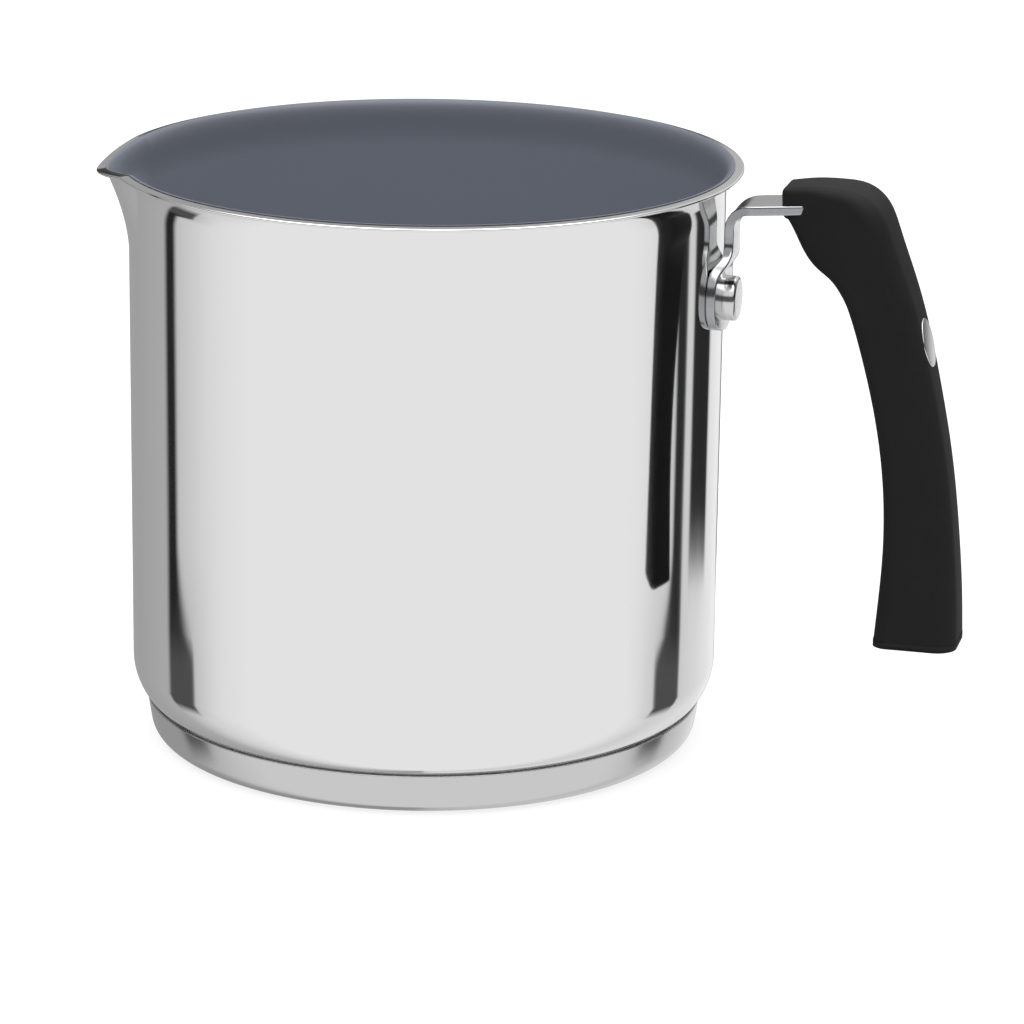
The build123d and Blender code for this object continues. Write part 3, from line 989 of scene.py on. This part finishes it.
film_out = wall + bond_gap
vessel_skin("drawn_vessel", 0, wall, True, steel, "pan_body")
vessel_skin("coating_film", film_out, film_out + coat, False, sprayed_nonstick(), "nonstick_coating")
base_capsule(satin)
bracket(strap_steel)
rivet(strap_steel)
grip(phenolic)
inlay(machined_aluminium_bright())

# The two hidden pieces keep their construction shapes
for node, finish in (("base_core", rolled_aluminium_plain()), ("grip_screw", zinc_plated_steel())):
    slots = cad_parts[node].data.materials
    slots.clear()
    slots.append(finish)

# Studio: a white floor, and a tent of light all round. Its wall panels leave two narrow dark gaps, its
# roof is brighter, a low dark flap stands at the back on the right, and a dark seam runs between walls
# and table. The front is open to a dark room.
# Bearings are degrees round from the tent's front towards the grip, and heights run from -1, straight
# down, to 1, straight up.
floor_half = 4000.0
floor_drop = 0.05
floor_glow = 1.04
floor_glow_share = 0.75  # how much of the floor's look is its own glow
tent_bearing = 15.0  # the tent's front, round from -Y towards the grip
table_edge = -0.293  # the height where the walls meet the table
table_from = -0.40  # the walls' bands fade out from this height down to the next
table_full = -0.50
gap_bounce = 0.09  # the most light that the table throws back into the gaps
gap_bounce_full = -0.325  # the height where it does
roof_from = 0.70
roof_full = 0.86
roof_glow = 4.0
front_turn = -0.25  # the cosine of the bearing where the front starts to open, up to 0

# The walls, by bearing
wall_glow = (
    (-180, 0.45),
    (-168, 0.38),
    (-150, 0.41),
    (-122, 0.50),
    (-120, 0.48),
    (-119, 0.02),
    (-113.2, 0.02),
    (-111.8, 0.66),
    (-100, 0.79),
    (-90, 0.90),
    (-72, 1.0),
    (86, 1.0),
    (97, 0.93),
    (105, 0.83),
    (112.3, 0.76),
    (113.6, 0.03),
    (119.4, 0.03),
    (120.8, 0.76),
    (142, 0.89),
    (158, 0.96),
    (166, 0.92),
    (173, 0.52),
    (180, 0.45),
)
# Below the walls the gaps flare towards the front: by how many radians at each height, and by what
# share of that at each bearing
gap_flare_turn = (
    (-1.0, 0.18),
    (-0.322, 0.18),
    (-0.314, 0.163),
    (-0.306, 0.136),
    (-0.2995, 0.0925),
    (-0.2956, 0.047),
    (table_edge, 0.0),
    (1.0, 0.0),
)
gap_flare = ((0, 0), (86, 0), (103, 1), (118, 0), (180, 0))
# The table top itself has no gaps
table_glow = (
    (-180, 0.45),
    (-150, 0.41),
    (-122, 0.50),
    (-100, 0.79),
    (-72, 1.0),
    (86, 1.0),
    (111, 0.79),
    (142, 0.89),
    (180, 0.7),
)
# The flap, by bearing, with a dim strip further back, and how much of both acts at each height
flap_glow = (
    (-180, 1),
    (125, 1),
    (126.5, 0.03),
    (142.5, 0.03),
    (144, 1),
    (165, 1),
    (169, 0.2),
    (175, 0.2),
    (180, 1),
)
flap_reach = ((-1.0, 0), (table_edge, 0), (-0.288, 1), (-0.12, 1), (-0.09, 0), (1.0, 0))
# The open front, by height
front_glow = ((-1.0, 1.0), (-0.17, 1.0), (-0.10, 0.12), (0.30, 0.10), (0.42, 1.0), (1.0, 1.0))
# The seam everywhere else, by height
seam_glow = ((-1.0, 1.0), (-0.17, 1.0), (-0.10, 0.12), (0.06, 0.12), (0.13, 1.0), (1.0, 1.0))


def floor():
    """The white table. Most of what the eye sees of it is its own glow, and no piece mirrors it."""
    half, drop = floor_half * MM, -floor_drop * MM
    corners = [(-half, -half, drop), (half, -half, drop), (half, half, drop), (-half, half, drop)]
    mesh = bpy.data.meshes.new("floor")
    mesh.from_pydata(corners, [], [(0, 1, 2, 3)])
    material, tree, shader, _ = new_material("white_sweep")
    fill(tree, shader, {"Base Color": linear("#F4F4F4"), "Roughness": 0.9, "Specular IOR Level": 0.0})
    glow = add_node(tree, "ShaderNodeEmission", {"Color": (1, 1, 1, 1), "Strength": floor_glow})
    path = add_node(tree, "ShaderNodeLightPath")
    amount = add_node(
        tree,
        "ShaderNodeMath",
        {0: path.outputs["Is Camera Ray"], 1: floor_glow_share},
        operation="MULTIPLY",
    )
    mixed = add_node(
        tree, "ShaderNodeMixShader", {0: amount.outputs[0], 1: shader.outputs[0], 2: glow.outputs[0]}
    )
    output = next(n for n in tree.nodes if n.type == "OUTPUT_MATERIAL")
    fill(tree, output, {"Surface": mixed.outputs[0]})
    mesh.materials.append(material)
    piece = bpy.data.objects.new("floor", mesh)
    piece.visible_glossy = False
    bpy.context.scene.collection.objects.link(piece)


def grey_stops(ramp, levels):
    """Give a ramp its grey levels, from (place, level) pairs in order, and return its colour."""
    stops = ramp.color_ramp.elements
    for i, (spot, level) in enumerate(levels):
        stop = stops[i] if i < 2 else stops.new(spot)
        stop.position = spot
        stop.color = (level, level, level, 1)
    return ramp.outputs["Color"]


def by_bearing(levels):
    """Turn bearings, -180 to 180 degrees, into places on a ramp."""
    return [((bearing + 180) / 360, level) for bearing, level in levels]


def by_height(levels):
    """Turn heights, -1 to 1, into places on a ramp."""
    return [((height + 1) / 2, level) for height, level in levels]


def tent_walls(tree, bearing, height, height_share):
    """The walls' bands by bearing, with their dark gaps flared below the walls."""
    size = add_node(tree, "ShaderNodeMath", {0: bearing}, operation="ABSOLUTE").outputs[0]
    size_share = add_node(tree, "ShaderNodeMapRange", {"Value": size, "From Max": pi})
    turn_ramp = add_node(tree, "ShaderNodeValToRGB", {"Fac": height_share})
    turn = grey_stops(turn_ramp, by_height(gap_flare_turn))
    flare_ramp = add_node(tree, "ShaderNodeValToRGB", {"Fac": size_share.outputs[0]})
    flare = grey_stops(flare_ramp, [(angle / 180, share) for angle, share in gap_flare])
    wider = add_node(tree, "ShaderNodeMath", {0: turn, 1: flare, 2: size}, operation="MULTIPLY_ADD")
    side = add_node(tree, "ShaderNodeMath", {0: bearing}, operation="SIGN")
    flared = add_node(
        tree, "ShaderNodeMath", {0: wider.outputs[0], 1: side.outputs[0]}, operation="MULTIPLY"
    )
    along = add_node(
        tree, "ShaderNodeMapRange", {"Value": flared.outputs[0], "From Min": -pi, "From Max": pi}
    )
    band_ramp = add_node(tree, "ShaderNodeValToRGB", {"Fac": along.outputs[0]})
    bounce = add_node(
        tree,
        "ShaderNodeMapRange",
        {"Value": height, "From Min": table_edge, "From Max": gap_bounce_full, "To Max": gap_bounce},
    )
    return add_node(
        tree,
        "ShaderNodeMix",
        {
            "Factor": 1.0,
            "A": grey_stops(band_ramp, by_bearing(wall_glow)),
            "B": bounce.outputs[0],
        },
        data_type="RGBA",
        blend_type="LIGHTEN",
    ).outputs["Result"]


def tent_and_table(tree, bearing, height, height_share):
    """The walls, the plain table below them, and the flap over both."""
    walls = tent_walls(tree, bearing, height, height_share)
    turn_share = add_node(
        tree, "ShaderNodeMapRange", {"Value": bearing, "From Min": -pi, "From Max": pi}
    ).outputs[0]
    steep = add_node(
        tree,
        "ShaderNodeMapRange",
        {"Value": height, "From Min": table_from, "From Max": table_full},
    )
    table_ramp = add_node(tree, "ShaderNodeValToRGB", {"Fac": turn_share})
    table = grey_stops(table_ramp, by_bearing(table_glow))
    both = add_node(
        tree, "ShaderNodeMix", {"Factor": steep.outputs[0], "A": walls, "B": table}, data_type="RGBA"
    )
    reach_ramp = add_node(tree, "ShaderNodeValToRGB", {"Fac": height_share})
    flap_ramp = add_node(tree, "ShaderNodeValToRGB", {"Fac": turn_share})
    return add_node(
        tree,
        "ShaderNodeMix",
        {
            "Factor": grey_stops(reach_ramp, by_height(flap_reach)),
            "A": both.outputs["Result"],
            "B": grey_stops(flap_ramp, by_bearing(flap_glow)),
        },
        data_type="RGBA",
        blend_type="MULTIPLY",
    ).outputs["Result"]


def tent_dark(tree, bearing, height_share):
    """What the open front and the seam leave of the light."""
    front_ramp = add_node(tree, "ShaderNodeValToRGB", {"Fac": height_share})
    seam_ramp = add_node(tree, "ShaderNodeValToRGB", {"Fac": height_share})
    facing = add_node(tree, "ShaderNodeMath", {0: bearing}, operation="COSINE")
    front = add_node(
        tree,
        "ShaderNodeMapRange",
        {"Value": facing.outputs[0], "From Min": front_turn, "From Max": 0.0},
    )
    return add_node(
        tree,
        "ShaderNodeMix",
        {
            "Factor": front.outputs[0],
            "A": grey_stops(seam_ramp, by_height(seam_glow)),
            "B": grey_stops(front_ramp, by_height(front_glow)),
        },
        data_type="RGBA",
    ).outputs["Result"]


def tent():
    """The light tent as the world's light. Seen straight on, the surroundings are plain white."""
    world = bpy.data.worlds.new("light_tent")
    world.use_nodes = True
    tree = world.node_tree
    tree.nodes.clear()
    place = add_node(tree, "ShaderNodeTexCoord")
    turned_round = add_node(
        tree,
        "ShaderNodeMapping",
        {"Vector": place.outputs["Generated"], "Rotation": (0, 0, radians(-tent_bearing))},
    )
    part = add_node(tree, "ShaderNodeSeparateXYZ", {"Vector": turned_round.outputs[0]})
    height = part.outputs["Z"]
    back = add_node(tree, "ShaderNodeMath", {0: part.outputs["Y"], 1: -1.0}, operation="MULTIPLY")
    bearing = add_node(
        tree, "ShaderNodeMath", {0: part.outputs["X"], 1: back.outputs[0]}, operation="ARCTAN2"
    ).outputs[0]
    height_share = add_node(
        tree, "ShaderNodeMapRange", {"Value": height, "From Min": -1.0, "From Max": 1.0}
    ).outputs[0]
    low = tent_and_table(tree, bearing, height, height_share)
    overhead = add_node(
        tree, "ShaderNodeMapRange", {"Value": height, "From Min": roof_from, "From Max": roof_full}
    )
    roof = add_node(
        tree,
        "ShaderNodeMix",
        {"Factor": overhead.outputs[0], "A": low, "B": (roof_glow, roof_glow, roof_glow, 1)},
        data_type="RGBA",
    )
    glow = add_node(
        tree,
        "ShaderNodeVectorMath",
        {0: roof.outputs["Result"], 1: tent_dark(tree, bearing, height_share)},
        operation="MULTIPLY",
    )
    path = add_node(tree, "ShaderNodeLightPath")
    seen = add_node(
        tree,
        "ShaderNodeMix",
        {"Factor": path.outputs["Is Camera Ray"], "A": glow.outputs[0], "B": (1, 1, 1, 1)},
        data_type="RGBA",
    )
    light = add_node(tree, "ShaderNodeBackground", {"Color": seen.outputs["Result"], "Strength": 1.0})
    add_node(tree, "ShaderNodeOutputWorld", {"Surface": light.outputs[0]})
    bpy.context.scene.world = world


def camera():
    """The photograph's viewpoint: at the tent's front and a little above. The grip comes forward a bit."""
    distance = 1071.9
    height_angle = 15.583
    target_height = 69.0
    yaw, pitch, roll = radians(1.166), radians(16.35), radians(0.767)
    away, above = distance * cos(radians(height_angle)), distance * sin(radians(height_angle))
    place = Vector((0, -away, target_height + above))
    ahead = Vector((sin(yaw) * cos(pitch), cos(yaw) * cos(pitch), -sin(pitch)))
    right = Vector((cos(yaw), -sin(yaw), 0))
    up = right.cross(ahead)
    right, up = right * cos(roll) + up * sin(roll), up * cos(roll) - right * sin(roll)
    turn = Matrix.Rotation(radians(tent_bearing), 4, "Z")
    axes = Matrix((right, up, -ahead)).transposed().to_4x4()
    data = bpy.data.cameras.new("camera")
    data.sensor_width = 36.0
    data.lens = 156.27
    data.clip_start = 0.05
    data.clip_end = 50.0
    piece = bpy.data.objects.new("camera", data)
    piece.matrix_world = turn @ Matrix.Translation(place * MM) @ axes
    bpy.context.scene.collection.objects.link(piece)
    bpy.context.scene.camera = piece


floor()
tent()
camera()
bpy.context.scene.view_settings.view_transform = "Standard"
